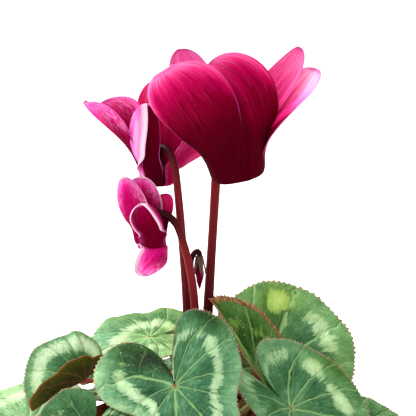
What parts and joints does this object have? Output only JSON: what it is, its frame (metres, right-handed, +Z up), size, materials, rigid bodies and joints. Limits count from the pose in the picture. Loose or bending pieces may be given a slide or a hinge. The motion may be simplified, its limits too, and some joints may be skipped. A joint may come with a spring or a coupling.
{
  "type": "potted cyclamen",
  "caption": "Potted cyclamen: reflexed magenta blooms and buds on hooked stalks over a mound of heart-shaped, silver-marbled, saw-edged leaves, in a plain terracotta pot.",
  "frame": {"origin": "centre of the pot's flat foot, on the surface it stands on", "axes": "+Z up along the pot's axis; the pictured side faces -Y; +X is the picture's right"},
  "size_m": [0.1793, 0.1619, 0.2425],
  "materials": {
    "terracotta": "unglazed, matt",
    "compost": "rough, crumbly",
    "tuber": "corky",
    "leaf": "satin, silver-marbled",
    "stalk": "satin, finely haired",
    "petal": "soft satin, streaked"
  },
  "bodies": {
    "root": {"pot": "terracotta", "soil": "compost", "tuber": "tuber", "leaf_front": "leaf", "leaf_front_right": "leaf", "leaf_back_right": "leaf", "leaf_inner_right": "leaf", "leaf_back_left": "leaf", "leaf_left": "leaf", "leaf_low_left": "leaf", "leaf_low_front": "leaf", "leaf_low_right": "leaf", "leaf_skirt_01": "leaf", "leaf_skirt_02": "leaf", "leaf_skirt_03": "leaf", "leaf_skirt_04": "leaf", "leaf_skirt_05": "leaf", "leaf_skirt_06": "leaf", "leaf_skirt_07": "leaf", "leaf_skirt_08": "leaf", "leaf_skirt_09": "leaf", "leaf_skirt_10": "leaf", "bloom_large_stalk": "stalk", "bloom_large_petals": "petal", "bloom_middle_stalk": "stalk", "bloom_middle_petals": "petal", "bloom_small_stalk": "stalk", "bloom_small_petals": "petal", "bud_high_stalk": "stalk", "bud_high_petals": "petal", "bud_low_stalk": "stalk", "bud_low_petals": "petal"}
  },
  "joints": []
}
